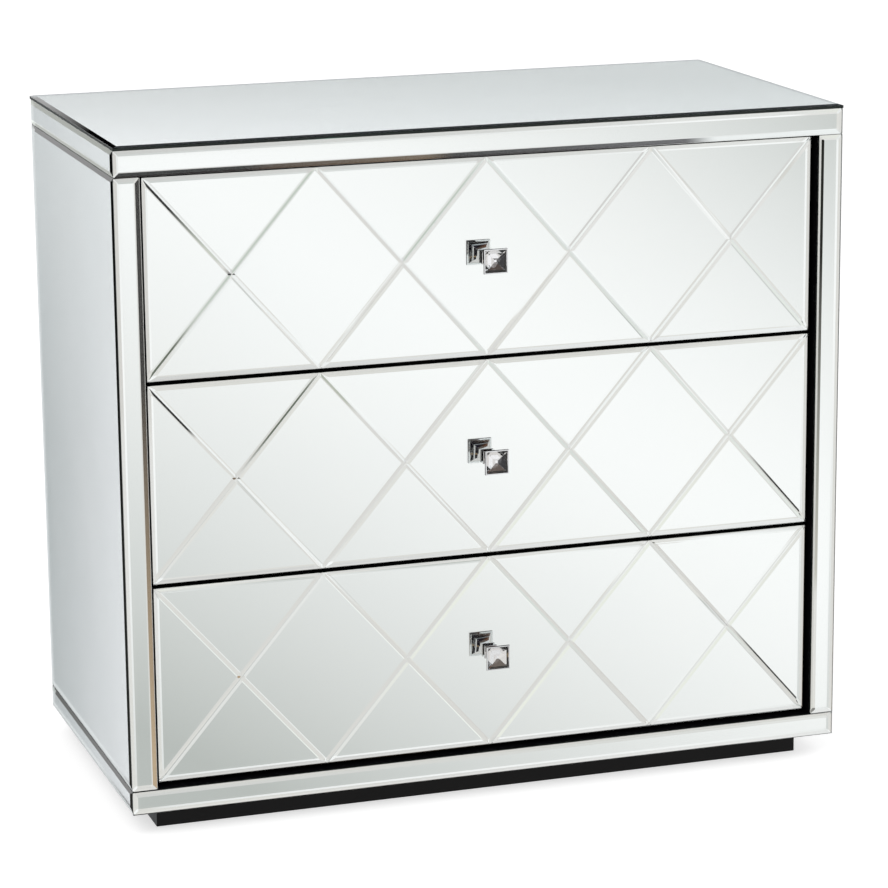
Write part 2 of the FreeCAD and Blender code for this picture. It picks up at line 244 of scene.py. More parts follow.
def window(tree, value, low, high, soft):
    # 1 between low and high, falling to 0 over soft, half of it on each side of the limits
    rise = addNode(tree, "ShaderNodeMapRange", {
        "Value": value, "From Min": low - soft / 2, "From Max": low + soft / 2},
        interpolation_type="SMOOTHSTEP")
    fall = addNode(tree, "ShaderNodeMapRange", {
        "Value": value, "From Min": high - soft / 2, "From Max": high + soft / 2,
        "To Min": 1.0, "To Max": 0.0}, interpolation_type="SMOOTHSTEP")
    return addNode(tree, "ShaderNodeMath", {0: rise, 1: fall}, operation="MULTIPLY")


def addPatch(tree, sky, bearing, height, side, patch):
    # The sky with one patch laid over it
    level = patch.get("level", 1)          # above 1 for a lit softbox
    codes = patch["colours"] if "colours" in patch else (patch["colour"],) * 4
    lowLeft, lowRight, highLeft, highRight = [[share * level for share in hexColour(code)] for code in codes]
    left, right = patch.get("across", patch["bearing"])
    low, high = patch.get("gradient", patch["height"])
    across = addNode(tree, "ShaderNodeMapRange", {"Value": bearing, "From Min": left, "From Max": right})
    up = addNode(tree, "ShaderNodeMapRange", {"Value": height, "From Min": low, "From Max": high})
    below = addNode(tree, "ShaderNodeMix", {0: across, 6: lowLeft, 7: lowRight}, data_type="RGBA")
    above = addNode(tree, "ShaderNodeMix", {0: across, 6: highLeft, 7: highRight}, data_type="RGBA")
    shade = addNode(tree, "ShaderNodeMix", {0: up, 6: below, 7: above}, data_type="RGBA")
    wide = window(tree, bearing, *patch["bearing"], patch["soft"])
    tall = window(tree, height, *patch["height"], patch["soft"])
    inside = addNode(tree, "ShaderNodeMath", {0: wide, 1: tall}, operation="MULTIPLY")
    shown = addNode(tree, "ShaderNodeMath", {0: inside, 1: side}, operation="MULTIPLY")
    return addNode(tree, "ShaderNodeMix", {0: shown, 6: sky, 7: shade}, data_type="RGBA")


def addScrim(tree, sky, direction, towards, inFront, look):
    # The sky with the lit scrim laid over it
    x, _, z = direction
    ahead = addNode(tree, "ShaderNodeMath", {0: towards, 1: look["leastAhead"]}, operation="MAXIMUM")
    down = addNode(tree, "ShaderNodeMath", {0: z, 1: -1.0}, operation="MULTIPLY")
    scrimX = addNode(tree, "ShaderNodeMath", {0: x, 1: ahead}, operation="DIVIDE")
    scrimZ = addNode(tree, "ShaderNodeMath", {0: down, 1: ahead}, operation="DIVIDE")
    slant = addNode(tree, "ShaderNodeMath", {0: scrimZ, 1: look["ridgeSlant"]}, operation="MULTIPLY")
    beside = addNode(tree, "ShaderNodeMath", {0: scrimX, 1: slant}, operation="SUBTRACT")
    beside = addNode(tree, "ShaderNodeMath", {0: beside, 1: look["ridge"]}, operation="SUBTRACT")
    falls = []
    for part in (look["left"], look["right"]):
        away = addNode(tree, "ShaderNodeMath", {0: beside, 1: part["side"]}, operation="MULTIPLY")
        away = addNode(tree, "ShaderNodeMath", {0: away, 1: 0.0}, operation="MAXIMUM")
        away = addNode(tree, "ShaderNodeMath", {0: away, 1: part["power"]}, operation="POWER")
        falls.append(addNode(tree, "ShaderNodeMath", {0: away, 1: part["fall"]}, operation="MULTIPLY"))
    fall = addNode(tree, "ShaderNodeMath", {0: falls[0], 1: falls[1]}, operation="ADD")
    fall = addNode(tree, "ShaderNodeMath", {0: fall, 1: look["mostFall"]}, operation="MINIMUM")
    scrim = addNode(tree, "ShaderNodeMix", {
        0: fall, 6: hexColour(look["scrimLit"]), 7: hexColour(look["scrimShaded"])}, data_type="RGBA")
    wide = window(tree, scrimX, *look["scrimX"], look["scrimSoft"])
    tall = window(tree, scrimZ, *look["scrimZ"], look["scrimSoft"])
    inside = addNode(tree, "ShaderNodeMath", {0: wide, 1: tall}, operation="MULTIPLY")
    shown = addNode(tree, "ShaderNodeMath", {0: inside, 1: inFront}, operation="MULTIPLY")
    return addNode(tree, "ShaderNodeMix", {0: shown, 6: sky, 7: scrim}, data_type="RGBA")


def buildStudio(look, patches):
    # What mirrors, metal and glass see all round. Everything else gets plain white light from it
    world = bpy.data.worlds.new("studio")
    bpy.context.scene.world = world
    world.use_nodes = True
    tree = world.node_tree
    tree.nodes.clear()
    generated = addNode(tree, "ShaderNodeTexCoord").outputs["Generated"]
    direction = addNode(tree, "ShaderNodeSeparateXYZ", {0: generated}).outputs
    x, y, z = direction
    towards = addNode(tree, "ShaderNodeMath", {0: y, 1: -1.0}, operation="MULTIPLY")
    rise = addNode(tree, "ShaderNodeMath", {0: z}, operation="ARCSINE")
    height = addNode(tree, "ShaderNodeMath", {0: rise}, operation="DEGREES")
    inFront = addNode(tree, "ShaderNodeMapRange", {
        "Value": towards, "From Min": -look["turnSoft"], "From Max": look["turnSoft"]},
        interpolation_type="SMOOTHSTEP")
    sides = {"front": inFront,
             "behind": addNode(tree, "ShaderNodeMath", {0: 1.0, 1: inFront}, operation="SUBTRACT")}
    bearings = {}
    for where, along in (("front", towards), ("behind", y)):
        turn = addNode(tree, "ShaderNodeMath", {0: x, 1: along}, operation="ARCTAN2")
        bearings[where] = addNode(tree, "ShaderNodeMath", {0: turn}, operation="DEGREES")

    ground = addNode(tree, "ShaderNodeMix", {
        0: inFront, 6: hexColour(look["ground"]), 7: hexColour(look["groundFront"])}, data_type="RGBA")
    climb = addNode(tree, "ShaderNodeMapRange", {
        "Value": height, "From Min": look["skyFrom"], "From Max": 90})
    sky = addNode(tree, "ShaderNodeMix", {
        0: climb, 6: hexColour(look["sky"]), 7: hexColour(look["zenith"])}, data_type="RGBA")
    horizonLow, horizonHigh = look["horizon"]
    above = addNode(tree, "ShaderNodeMapRange", {
        "Value": height, "From Min": horizonLow, "From Max": horizonHigh}, interpolation_type="SMOOTHSTEP")
    sky = addNode(tree, "ShaderNodeMix", {0: above, 6: ground, 7: sky}, data_type="RGBA")
    for where, group in patches.items():
        for patch in group:
            sky = addPatch(tree, sky, bearings[where], height, sides[where], patch)
    sky = addScrim(tree, sky, direction, towards, inFront, look)

    path = addNode(tree, "ShaderNodeLightPath").outputs
    mirrored = addNode(tree, "ShaderNodeMath", {
        0: path["Is Glossy Ray"], 1: path["Is Transmission Ray"]}, operation="MAXIMUM")
    strength = addNode(tree, "ShaderNodeMapRange", {
        "Value": path["Is Camera Ray"], "To Min": look["ambient"], "To Max": 1.0})
    white = addNode(tree, "ShaderNodeBackground", {"Color": hexColour("#ffffff"), "Strength": strength})
    shown = addNode(tree, "ShaderNodeBackground", {"Color": sky})
    both = addNode(tree, "ShaderNodeMixShader", {0: mirrored, 1: white, 2: shown})
    addNode(tree, "ShaderNodeOutputWorld", {"Surface": both})


lamps = {
    "keyLamp": {"at": (-2.4, -2.8, 3.2), "size": 2.2, "watts": 60},
    "sideLamp": {"at": (3.2, -1.2, 2.2), "size": 2.0, "watts": 22},
}
lampAim = (0, 0, 0.4)      # the chest's middle


def buildLamps(settings, aim):
    for name, lamp in settings.items():
        light = bpy.data.lights.new(name, "AREA")
        light.size = lamp["size"]
        light.energy = lamp["watts"]
        lampObject = bpy.data.objects.new(name, light)
        bpy.context.scene.collection.objects.link(lampObject)
        lampObject.location = lamp["at"]
        toChest = Vector(aim) - Vector(lamp["at"])
        lampObject.rotation_euler = toChest.to_track_quat("-Z", "Y").to_euler()
        lampObject.visible_glossy = False         # the mirrors show the painted studio, not the lamps
        lampObject.visible_transmission = False


buildFloor(floorLook)
buildStudio(studioLook, studioPatches)
buildLamps(lamps, lampAim)
bpy.context.scene.view_settings.view_transform = "Standard"
print("stage: floor, studio and lamps")


# Materials

def wanderingHaze(tree, size, detail, levels, roughness):
    # Roughness that wanders between two values as noise of a size passes between two levels
    noise = addNode(tree, "ShaderNodeTexNoise", {
        "Vector": objectPoint(tree), "Scale": 1 / size, "Detail": detail})
    return addNode(tree, "ShaderNodeMapRange", {
        "Value": noise, "From Min": levels[0], "From Max": levels[1],
        "To Min": roughness[0], "To Max": roughness[1]})


def floatGlass():
    # Clear float glass, polished. Its iron gives long paths through it the dark green of the cut edges
    material, tree = newMaterial("floatGlass")
    wiped = wanderingHaze(tree, size=90 * mm, detail=2, levels=(0.55, 0.8), roughness=(0.0, 0.012))
    surface = addNode(tree, "ShaderNodeBsdfPrincipled", {
        "Base Color": hexColour("#ffffff"), "IOR": 1.52, "Transmission Weight": 1.0, "Roughness": wiped})
    iron = addNode(tree, "ShaderNodeVolumeAbsorption", {"Color": (0.3, 0.8, 0.68, 1), "Density": 4.5})
    addNode(tree, "ShaderNodeOutputMaterial", {"Surface": surface, "Volume": iron})
    return material


def mirrorSilver():
    # Silver deposited on the back of the glass, with the slight roll of float glass
    material, tree = newMaterial("mirrorSilver")
    point = objectPoint(tree)
    cloud = addNode(tree, "ShaderNodeTexNoise", {"Vector": point, "Scale": 1 / (140 * mm), "Detail": 2})
    tone = addNode(tree, "ShaderNodeMix", {
        0: cloud, 6: hexColour("#fbfcfc"), 7: hexColour("#fdfdfc")}, data_type="RGBA")
    wave = addNode(tree, "ShaderNodeTexNoise", {"Vector": point, "Scale": 1 / (120 * mm), "Detail": 1})
    roll = addNode(tree, "ShaderNodeBump", {"Height": wave, "Distance": 0.02 * mm, "Strength": 0.6})
    surface = addNode(tree, "ShaderNodeBsdfPrincipled", {
        "Base Color": tone, "Metallic": 1.0, "Roughness": 0.0, "Normal": roll})
    addNode(tree, "ShaderNodeOutputMaterial", {"Surface": surface})
    return material


def blackLacqueredBoard():
    # Fibreboard sprayed with satin black lacquer: faint orange peel, softly lit rather than shiny
    material, tree = newMaterial("blackLacqueredBoard")
    point = objectPoint(tree)
    # real peel is about 1 mm, drawn coarser to show
    peel = addNode(tree, "ShaderNodeTexNoise", {"Vector": point, "Scale": 1 / (2.2 * mm), "Detail": 2})
    cloud = addNode(tree, "ShaderNodeTexNoise", {"Vector": point, "Scale": 1 / (60 * mm), "Detail": 4})
    tone = addNode(tree, "ShaderNodeMix", {
        0: cloud, 6: hexColour("#060608"), 7: hexColour("#0c0b0e")}, data_type="RGBA")
    sheen = addNode(tree, "ShaderNodeMapRange", {
        "Value": cloud, "From Min": 0.3, "From Max": 0.7, "To Min": 0.36, "To Max": 0.5})
    bump = addNode(tree, "ShaderNodeBump", {"Height": peel, "Distance": 0.03 * mm, "Strength": 0.5})
    surface = addNode(tree, "ShaderNodeBsdfPrincipled", {
        "Base Color": tone, "Roughness": sheen, "IOR": 1.5, "Specular IOR Level": 0.2, "Normal": bump})
    addNode(tree, "ShaderNodeOutputMaterial", {"Surface": surface})
    return material


def darkHardboard():
    # Wet-pressed hardboard, stained nearly black: short fibres and a dull sheen
    material, tree = newMaterial("darkHardboard")
    fibres = addNode(tree, "ShaderNodeTexNoise", {
        "Vector": objectPoint(tree, scale=(1, 1, 0.35)), "Scale": 1 / (2.5 * mm),
        "Detail": 5, "Roughness": 0.7})
    strands = addNode(tree, "ShaderNodeMapRange", {"Value": fibres, "From Min": 0.35, "From Max": 0.7})
    tone = addNode(tree, "ShaderNodeMix", {
        0: strands, 6: hexColour("#1d1713"), 7: hexColour("#3a2e25")}, data_type="RGBA")
    blotch = addNode(tree, "ShaderNodeTexNoise", {
        "Vector": objectPoint(tree), "Scale": 1 / (45 * mm), "Detail": 4})
    stain = addNode(tree, "ShaderNodeMapRange", {
        "Value": blotch, "From Min": 0.4, "From Max": 0.8, "To Min": 0.0, "To Max": 0.5})
    tone = addNode(tree, "ShaderNodeMix", {0: stain, 6: tone, 7: hexColour("#18130f")}, data_type="RGBA")
    sheen = addNode(tree, "ShaderNodeMapRange", {
        "Value": fibres, "From Min": 0.3, "From Max": 0.7, "To Min": 0.5, "To Max": 0.68})
    bump = addNode(tree, "ShaderNodeBump", {"Height": fibres, "Distance": 0.08 * mm, "Strength": 0.6})
    surface = addNode(tree, "ShaderNodeBsdfPrincipled", {
        "Base Color": tone, "Roughness": sheen, "IOR": 1.5, "Normal": bump})
    addNode(tree, "ShaderNodeOutputMaterial", {"Surface": surface})
    return material


def planedWood(name, along, pale, dark):
    # Planed light hardwood under clear sealer, its grain and pores drawn out along one axis
    material, tree = newMaterial(name)
    grainScale, poreScale = [1, 1, 1], [1, 1, 1]
    grainScale[along] = 0.06
    poreScale[along] = 0.09
    grain = addNode(tree, "ShaderNodeTexNoise", {
        "Vector": objectPoint(tree, scale=grainScale), "Scale": 1 / (16 * mm),
        "Detail": 3, "Distortion": 0.6})
    rings = addNode(tree, "ShaderNodeMath", {0: grain, 1: 9.0}, operation="MULTIPLY")
    bands = addNode(tree, "ShaderNodeMath", {0: rings}, operation="FRACT")
    late = addNode(tree, "ShaderNodeMapRange", {"Value": bands}, interpolation_type="SMOOTHSTEP")
    tone = addNode(tree, "ShaderNodeMix", {0: late, 6: hexColour(pale), 7: hexColour(dark)}, data_type="RGBA")
    # pores about 0.5 mm wide
    pores = addNode(tree, "ShaderNodeTexNoise", {
        "Vector": objectPoint(tree, scale=poreScale), "Scale": 1 / (1.1 * mm), "Detail": 2})
    fleck = addNode(tree, "ShaderNodeMapRange", {
        "Value": pores, "From Min": 0.58, "From Max": 0.72, "To Min": 0.0, "To Max": 0.45})
    tone = addNode(tree, "ShaderNodeMix", {0: fleck, 6: tone, 7: hexColour("#8f6d48")}, data_type="RGBA")
    sheen = addNode(tree, "ShaderNodeMapRange", {
        "Value": pores, "From Min": 0.4, "From Max": 0.7, "To Min": 0.42, "To Max": 0.56})
    bump = addNode(tree, "ShaderNodeBump", {"Height": pores, "Distance": 0.05 * mm, "Strength": 0.4})
    surface = addNode(tree, "ShaderNodeBsdfPrincipled", {
        "Base Color": tone, "Roughness": sheen, "IOR": 1.5, "Normal": bump})
    addNode(tree, "ShaderNodeOutputMaterial", {"Surface": surface})
    return material


def zincPlatedSteel():
    # Cold-rolled strip, bright zinc plated: fine rolling lines along y and a bluish-yellow bloom
    material, tree = newMaterial("zincPlatedSteel")
    lines = addNode(tree, "ShaderNodeTexNoise", {
        "Vector": objectPoint(tree, scale=(1, 0.03, 1)), "Scale": 1 / (0.9 * mm), "Detail": 3})
    bloom = addNode(tree, "ShaderNodeTexNoise", {
        "Vector": objectPoint(tree), "Scale": 1 / (14 * mm), "Detail": 3})
    tone = addNode(tree, "ShaderNodeMix", {
        0: bloom, 6: hexColour("#b4b9c0"), 7: hexColour("#cbc9bf")}, data_type="RGBA")
    sheen = addNode(tree, "ShaderNodeMapRange", {
        "Value": lines, "From Min": 0.3, "From Max": 0.7, "To Min": 0.22, "To Max": 0.36})
    bump = addNode(tree, "ShaderNodeBump", {"Height": lines, "Distance": 0.02 * mm, "Strength": 0.35})
    surface = addNode(tree, "ShaderNodeBsdfPrincipled", {
        "Base Color": tone, "Metallic": 1.0, "Roughness": sheen, "Normal": bump})
    addNode(tree, "ShaderNodeOutputMaterial", {"Surface": surface})
    return material


def ballSteel():
    # Hardened chrome steel, tumbled and polished: bright, with a slight haze
    material, tree = newMaterial("ballSteel")
    tumbled = wanderingHaze(tree, size=1.5 * mm, detail=2, levels=(0.3, 0.7), roughness=(0.08, 0.16))
    surface = addNode(tree, "ShaderNodeBsdfPrincipled", {
        "Base Color": hexColour("#c9ccd0"), "Metallic": 1.0, "Roughness": tumbled})
    addNode(tree, "ShaderNodeOutputMaterial", {"Surface": surface})
    return material


def chromePlate():
    # Zinc casting, buffed and chrome plated: a hard bright mirror with faint buffing haze
    material, tree = newMaterial("chromePlate")
    buffed = wanderingHaze(tree, size=3 * mm, detail=3, levels=(0.35, 0.75), roughness=(0.03, 0.1))
    surface = addNode(tree, "ShaderNodeBsdfPrincipled", {
        "Base Color": hexColour("#e6e7e9"), "Metallic": 1.0, "Roughness": buffed})
    addNode(tree, "ShaderNodeOutputMaterial", {"Surface": surface})
    return material


def cutCrystal():
    # Lead crystal, ground and fire polished: clear and sharp, with the least trace of the grinding
    material, tree = newMaterial("cutCrystal")
    polish = wanderingHaze(tree, size=5 * mm, detail=1, levels=(0.5, 0.8), roughness=(0.0, 0.01))
    surface = addNode(tree, "ShaderNodeBsdfPrincipled", {
        "Base Color": hexColour("#ffffff"), "IOR": 1.56, "Transmission Weight": 1.0, "Roughness": polish})
    addNode(tree, "ShaderNodeOutputMaterial", {"Surface": surface})
    return material


def foilBacking():
    # Bright metal foil behind the stone, very slightly creased
    material, tree = newMaterial("foilBacking")
    crease = addNode(tree, "ShaderNodeTexNoise", {
        "Vector": objectPoint(tree), "Scale": 1 / (2.5 * mm), "Detail": 2})
    bump = addNode(tree, "ShaderNodeBump", {"Height": crease, "Distance": 0.05 * mm, "Strength": 0.3})
    surface = addNode(tree, "ShaderNodeBsdfPrincipled", {
        "Base Color": hexColour("#fbfbfc"), "Metallic": 1.0, "Roughness": 0.03, "Normal": bump})
    addNode(tree, "ShaderNodeOutputMaterial", {"Surface": surface})
    return material


def edgeSealerPaintedShade():
    # Dark paint on the ground edges of a mirror, partly sealer against damp and partly painted shade that
    # darkens the lines along the mirrors' edges and the chest's corners. Satin, with brush drag
    material, tree = newMaterial("edgeSealerPaintedShade")
    drag = addNode(tree, "ShaderNodeTexNoise", {
        "Vector": objectPoint(tree, scale=(1, 1, 0.2)), "Scale": 1 / (1.6 * mm), "Detail": 3})
    tone = addNode(tree, "ShaderNodeMix", {
        0: drag, 6: hexColour("#0d1412"), 7: hexColour("#242d2a")}, data_type="RGBA")
    sheen = addNode(tree, "ShaderNodeMapRange", {
        "Value": drag, "From Min": 0.3, "From Max": 0.7, "To Min": 0.4, "To Max": 0.55})
    bump = addNode(tree, "ShaderNodeBump", {"Height": drag, "Distance": 0.04 * mm, "Strength": 0.5})
    surface = addNode(tree, "ShaderNodeBsdfPrincipled", {
        "Base Color": tone, "Roughness": sheen, "IOR": 1.5, "Specular IOR Level": 0.3, "Normal": bump})
    addNode(tree, "ShaderNodeOutputMaterial", {"Surface": surface})
    return material


glass = floatGlass()
silver = mirrorSilver()
# dark edge paint that also stands in as painted shade along the mirrors' edges
sealerPaintedShade = edgeSealerPaintedShade()
lacquer = blackLacqueredBoard()
hardboard = darkHardboard()
woodAlongY = planedWood("planedWoodSides", 1, "#d9c3a0", "#c9ad85")
woodAlongX = planedWood("planedWoodBacks", 0, "#d9c3a0", "#c9ad85")
plywood = planedWood("birchPlywood", 0, "#e0cda9", "#d2b98f")
zinc = zincPlatedSteel()
balls = ballSteel()
chrome = chromePlate()
crystal = cutCrystal()
foil = foilBacking()
print("stage: materials")


# Plain CAD pieces take their finish as they are

def finishFor(name):
    if name == "back_panel":
        return hardboard
    if "channels" in name or "screw" in name:
        return zinc
    if "side_right" in name or "side_left" in name:
        return woodAlongY
    for ending, material in (("drawer_back", woodAlongX), ("drawer_bottom", plywood),
                             ("knob", chrome), ("crystal", crystal)):
        if name.endswith(ending):
            return material
    return lacquer


for name, node in nodes.items():
    if "mirror" not in name:
        node.data.materials.clear()
        node.data.materials.append(finishFor(name))
print("stage: boards, boxes and channels")


# Pieces made from a node's own shape

solidMake = {
    "weld": 0.005 * mm,
    "flat": 0.5,          # degrees between facets that count as one flat face
}


def shapeOf(name, make=solidMake):
    # The node's faces with the loose triangles joined and flat areas made whole
    shape = bmesh.new()
    shape.from_mesh(nodes[name].data)
    bmesh.ops.remove_doubles(shape, verts=shape.verts, dist=make["weld"])
    bmesh.ops.dissolve_limit(
        shape, angle_limit=math.radians(make["flat"]), verts=shape.verts, edges=shape.edges)
    return shape


def pieceFrom(shape, name, materials):
    mesh = bpy.data.meshes.new(name)
    shape.to_mesh(mesh)
    shape.free()
    if "custom_normal" in mesh.attributes:
        mesh.attributes.remove(mesh.attributes["custom_normal"])
    piece = bpy.data.objects.new(name, mesh)
    bpy.context.scene.collection.objects.link(piece)
    for material in materials:
        mesh.materials.append(material)
    return piece


def applyModifiers(piece):
    bpy.context.view_layer.update()
    made = bpy.data.meshes.new_from_object(piece.evaluated_get(bpy.context.evaluated_depsgraph_get()))
    made.name = piece.name
    piece.modifiers.clear()
    piece.data = made


def seamed(piece, width, angle, steps):
    # Takes the sharpness off every edge that turns by more than the angle
    bevel = piece.modifiers.new("arris", "BEVEL")
    bevel.width = width
    bevel.segments = steps
    bevel.limit_method = "ANGLE"
    bevel.angle_limit = math.radians(angle)
    applyModifiers(piece)


def settle(piece, body, slot, *replaced):
    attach(piece, body)
    if replaced:
        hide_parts(*replaced)


mirrorMake = {
    "silverGap": 0.12 * mm,   # paint between the silver and the board
    "arris": 0.35 * mm,       # seamed edge, all round
    "arrisAngle": 62,         # degrees, so that bevels and grooves keep their sharp lines
    "cornerBevel": 5 * mm,    # how much wider the bevels are at the chest's front corners, on its sides
    "backFacing": -0.99,      # a face turned this far from the front is the silvered back
    "edgeFacing": 0.1,        # and one this square to it is a ground edge
}


def facingOf(low, high):
    # A mirror's thin way, towards the outside of the chest
    size = high - low
    axis = min(range(3), key=lambda i: size[i])
    direction = Vector((0, 0, 0))
    direction[axis] = -1 if axis == 1 else math.copysign(1, low[axis] + high[axis])
    return direction


def buildMirror(name, body, make):
    low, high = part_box(name)
    facing = facingOf(low, high)
    shape = shapeOf(name)
    back = min(v.co.dot(facing) for v in shape.verts)
    for v in shape.verts:
        if v.co.dot(facing) - back < near:
            v.co += facing * make["silverGap"]
    if facing.x:
        face = max(v.co.dot(facing) for v in shape.verts)
        inner = [v for v in shape.verts if face - v.co.dot(facing) < near]
        front = min(v.co.y for v in inner)
        for v in inner:
            if v.co.y - front < near:
                v.co.y += make["cornerBevel"]
    materials = [glass, silver, sealerPaintedShade]
    piece = pieceFrom(shape, name + "_glass", materials)
    seamed(piece, make["arris"], make["arrisAngle"], steps=2)
    for face in piece.data.polygons:
        outward = face.normal.dot(facing)
        if outward < make["backFacing"]:
            face.material_index = materials.index(silver)
        # ground edges take the dark sealer, a painted shade for the dark lines along the edges and corners
        elif abs(outward) < make["edgeFacing"]:
            face.material_index = materials.index(sealerPaintedShade)
        else:
            face.material_index = materials.index(glass)
    settle(piece, body, "mirror_glass", name)


for body, members in frame["record"]["behaviour"]["bodies"].items():
    for name in members:
        if "mirror" in name:
            buildMirror(name, body, mirrorMake)
print("stage: mirrors")


knobMake = {
    "edge": 0.25 * mm,        # softened edges of the plated casting
    "edgeAngle": 40,          # degrees
    "seat": 0.05 * mm,        # air between the foot and the glass
    "rimDepth": 2.5 * mm,     # the bezel's straight side, in front of the flare
    "neckTop": 8 * mm,        # where the flare starts, from the mirror
    "pinHalf": 4 * mm,        # nothing this near the knob's axis moves with the flare
    "stoneEdge": 0.12 * mm,
    "stoneAngle": 30,         # degrees
    "pavilion": 4.7 * mm,     # depth below the girdle, for the facets to turn light back
    "stonePlay": 0.994,       # the stone's size in its pocket
    "foilFacing": 0.2,        # a facet turned this far to the back carries foil
}


def buildKnob(prefix, body, make):
    name = prefix + "_knob"
    low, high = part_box(name)
    middle = (low + high) / 2
    shape = shapeOf(name)
    start = high.y - make["neckTop"]
    ledge = max(v.co.y for v in shape.verts if v.co.x - low.x < near)
    stretch = (low.y + make["rimDepth"] - start) / (ledge - start)
    for v in shape.verts:
        aside = max(abs(v.co.x - middle.x), abs(v.co.z - middle.z))
        if aside > make["pinHalf"] and ledge - near < v.co.y < start:
            v.co.y = start + (v.co.y - start) * stretch
        elif high.y - v.co.y < near:
            v.co.y -= make["seat"]
    casting = pieceFrom(shape, name + "_casting", [chrome])
    seamed(casting, make["edge"], make["edgeAngle"], steps=2)
    settle(casting, body, "chrome", name)

    name = prefix + "_crystal"
    low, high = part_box(name)
    shape = shapeOf(name)
    for v in shape.verts:
        v.co.x = middle.x + (v.co.x - middle.x) * make["stonePlay"]
        v.co.z = middle.z + (v.co.z - middle.z) * make["stonePlay"]
    girdle = max(v.co.y for v in shape.verts if high.y - v.co.y > near)
    for v in shape.verts:
        if high.y - v.co.y < near:
            v.co.y = girdle + make["pavilion"]
    materials = [crystal, foil]
    stone = pieceFrom(shape, name + "_stone", materials)
    seamed(stone, make["stoneEdge"], make["stoneAngle"], steps=1)
    for face in stone.data.polygons:
        face.material_index = materials.index(foil if face.normal.y > make["foilFacing"] else crystal)
    settle(stone, body, "crystal", name)


for name in drawerNames:
    buildKnob(name + "_drawer", name + "_drawer", knobMake)
print("stage: knobs")


# Screws, balls and ball cages, set out by Geometry Nodes

def newTree(name, sizes):
    # An empty tree with an input for points, one for each named size, and one for the material
    tree = bpy.data.node_groups.new(name, "GeometryNodeTree")
    sockets = {"Points": "Geometry", **{size: "Float" for size in sizes}, "Number": "Int", "Seed": "Int",
               "Material": "Material"}
    for label, kind in sockets.items():
        tree.interface.new_socket(name=label, in_out="INPUT", socket_type="NodeSocket" + kind)
    tree.interface.new_socket(name="Geometry", in_out="OUTPUT", socket_type="NodeSocketGeometry")
    return tree, addNode(tree, "NodeGroupInput").outputs


def setOnPoints(tree, given, shape):
    # One copy on each point, its z axis along the point's facing, its own turn about that axis by the seed
    facing = addNode(tree, "GeometryNodeInputNamedAttribute", {"Name": "facing"}, data_type="FLOAT_VECTOR")
    aligned = addNode(tree, "FunctionNodeAlignRotationToVector", {"Vector": facing}, axis="Z")
    chance = addNode(tree, "FunctionNodeRandomValue", {"Seed": given["Seed"]}, data_type="FLOAT")
    turned = addNode(tree, "ShaderNodeMath", {0: chance, 1: math.tau}, operation="MULTIPLY")
    anySeed = addNode(tree, "ShaderNodeMath", {0: turned, 1: given["Seed"]}, operation="MULTIPLY")
    spin = addNode(tree, "FunctionNodeAxisAngleToRotation", {"Angle": anySeed})
    both = addNode(tree, "FunctionNodeRotateRotation", {0: aligned, 1: spin}, rotation_space="LOCAL")
    points = addNode(tree, "GeometryNodeMeshToPoints", {"Mesh": given["Points"]})
    copies = addNode(tree, "GeometryNodeInstanceOnPoints", {
        "Points": points, "Instance": shape, "Rotation": both})
    whole = addNode(tree, "GeometryNodeRealizeInstances", {"Geometry": copies})
    finished = addNode(tree, "GeometryNodeSetMaterial", {"Geometry": whole, "Material": given["Material"]})
    addNode(tree, "NodeGroupOutput", {"Geometry": finished})
    return tree


def setOut(name, tree, places, sizes, material):
    # places are (point, facing) pairs. The evaluated result becomes a plain mesh
    mesh = bpy.data.meshes.new(name)
    mesh.from_pydata([tuple(point) for point, _ in places], [], [])
    facing = mesh.attributes.new("facing", "FLOAT_VECTOR", "POINT")
    for i, (_, direction) in enumerate(places):
        facing.data[i].vector = direction
    piece = bpy.data.objects.new(name, mesh)
    bpy.context.scene.collection.objects.link(piece)
    modifier = piece.modifiers.new("setOut", "NODES")
    modifier.node_group = tree
    for socket in tree.interface.items_tree:
        if socket.in_out == "INPUT" and socket.name in sizes:
            modifier[socket.identifier] = sizes[socket.name]
        elif socket.name == "Material":
            modifier[socket.identifier] = material
    applyModifiers(piece)
    piece.data.materials.clear()
    piece.data.materials.append(material)
    return piece


screwShape = {
    "headSides": 20, "headRings": 12, "shankSides": 14,
    "flatFrom": 0.85,            # share of the ball's height from which the head is flat
    "dome": 2.0,                 # how the head curves over from rim to top, 1 for a straight slope
    "recessDeep": (1.2, 1.25),   # the two arms' cutters, centred on the top, against the head's height
    "tip": 0.3,                  # the shank's end against its full radius
}


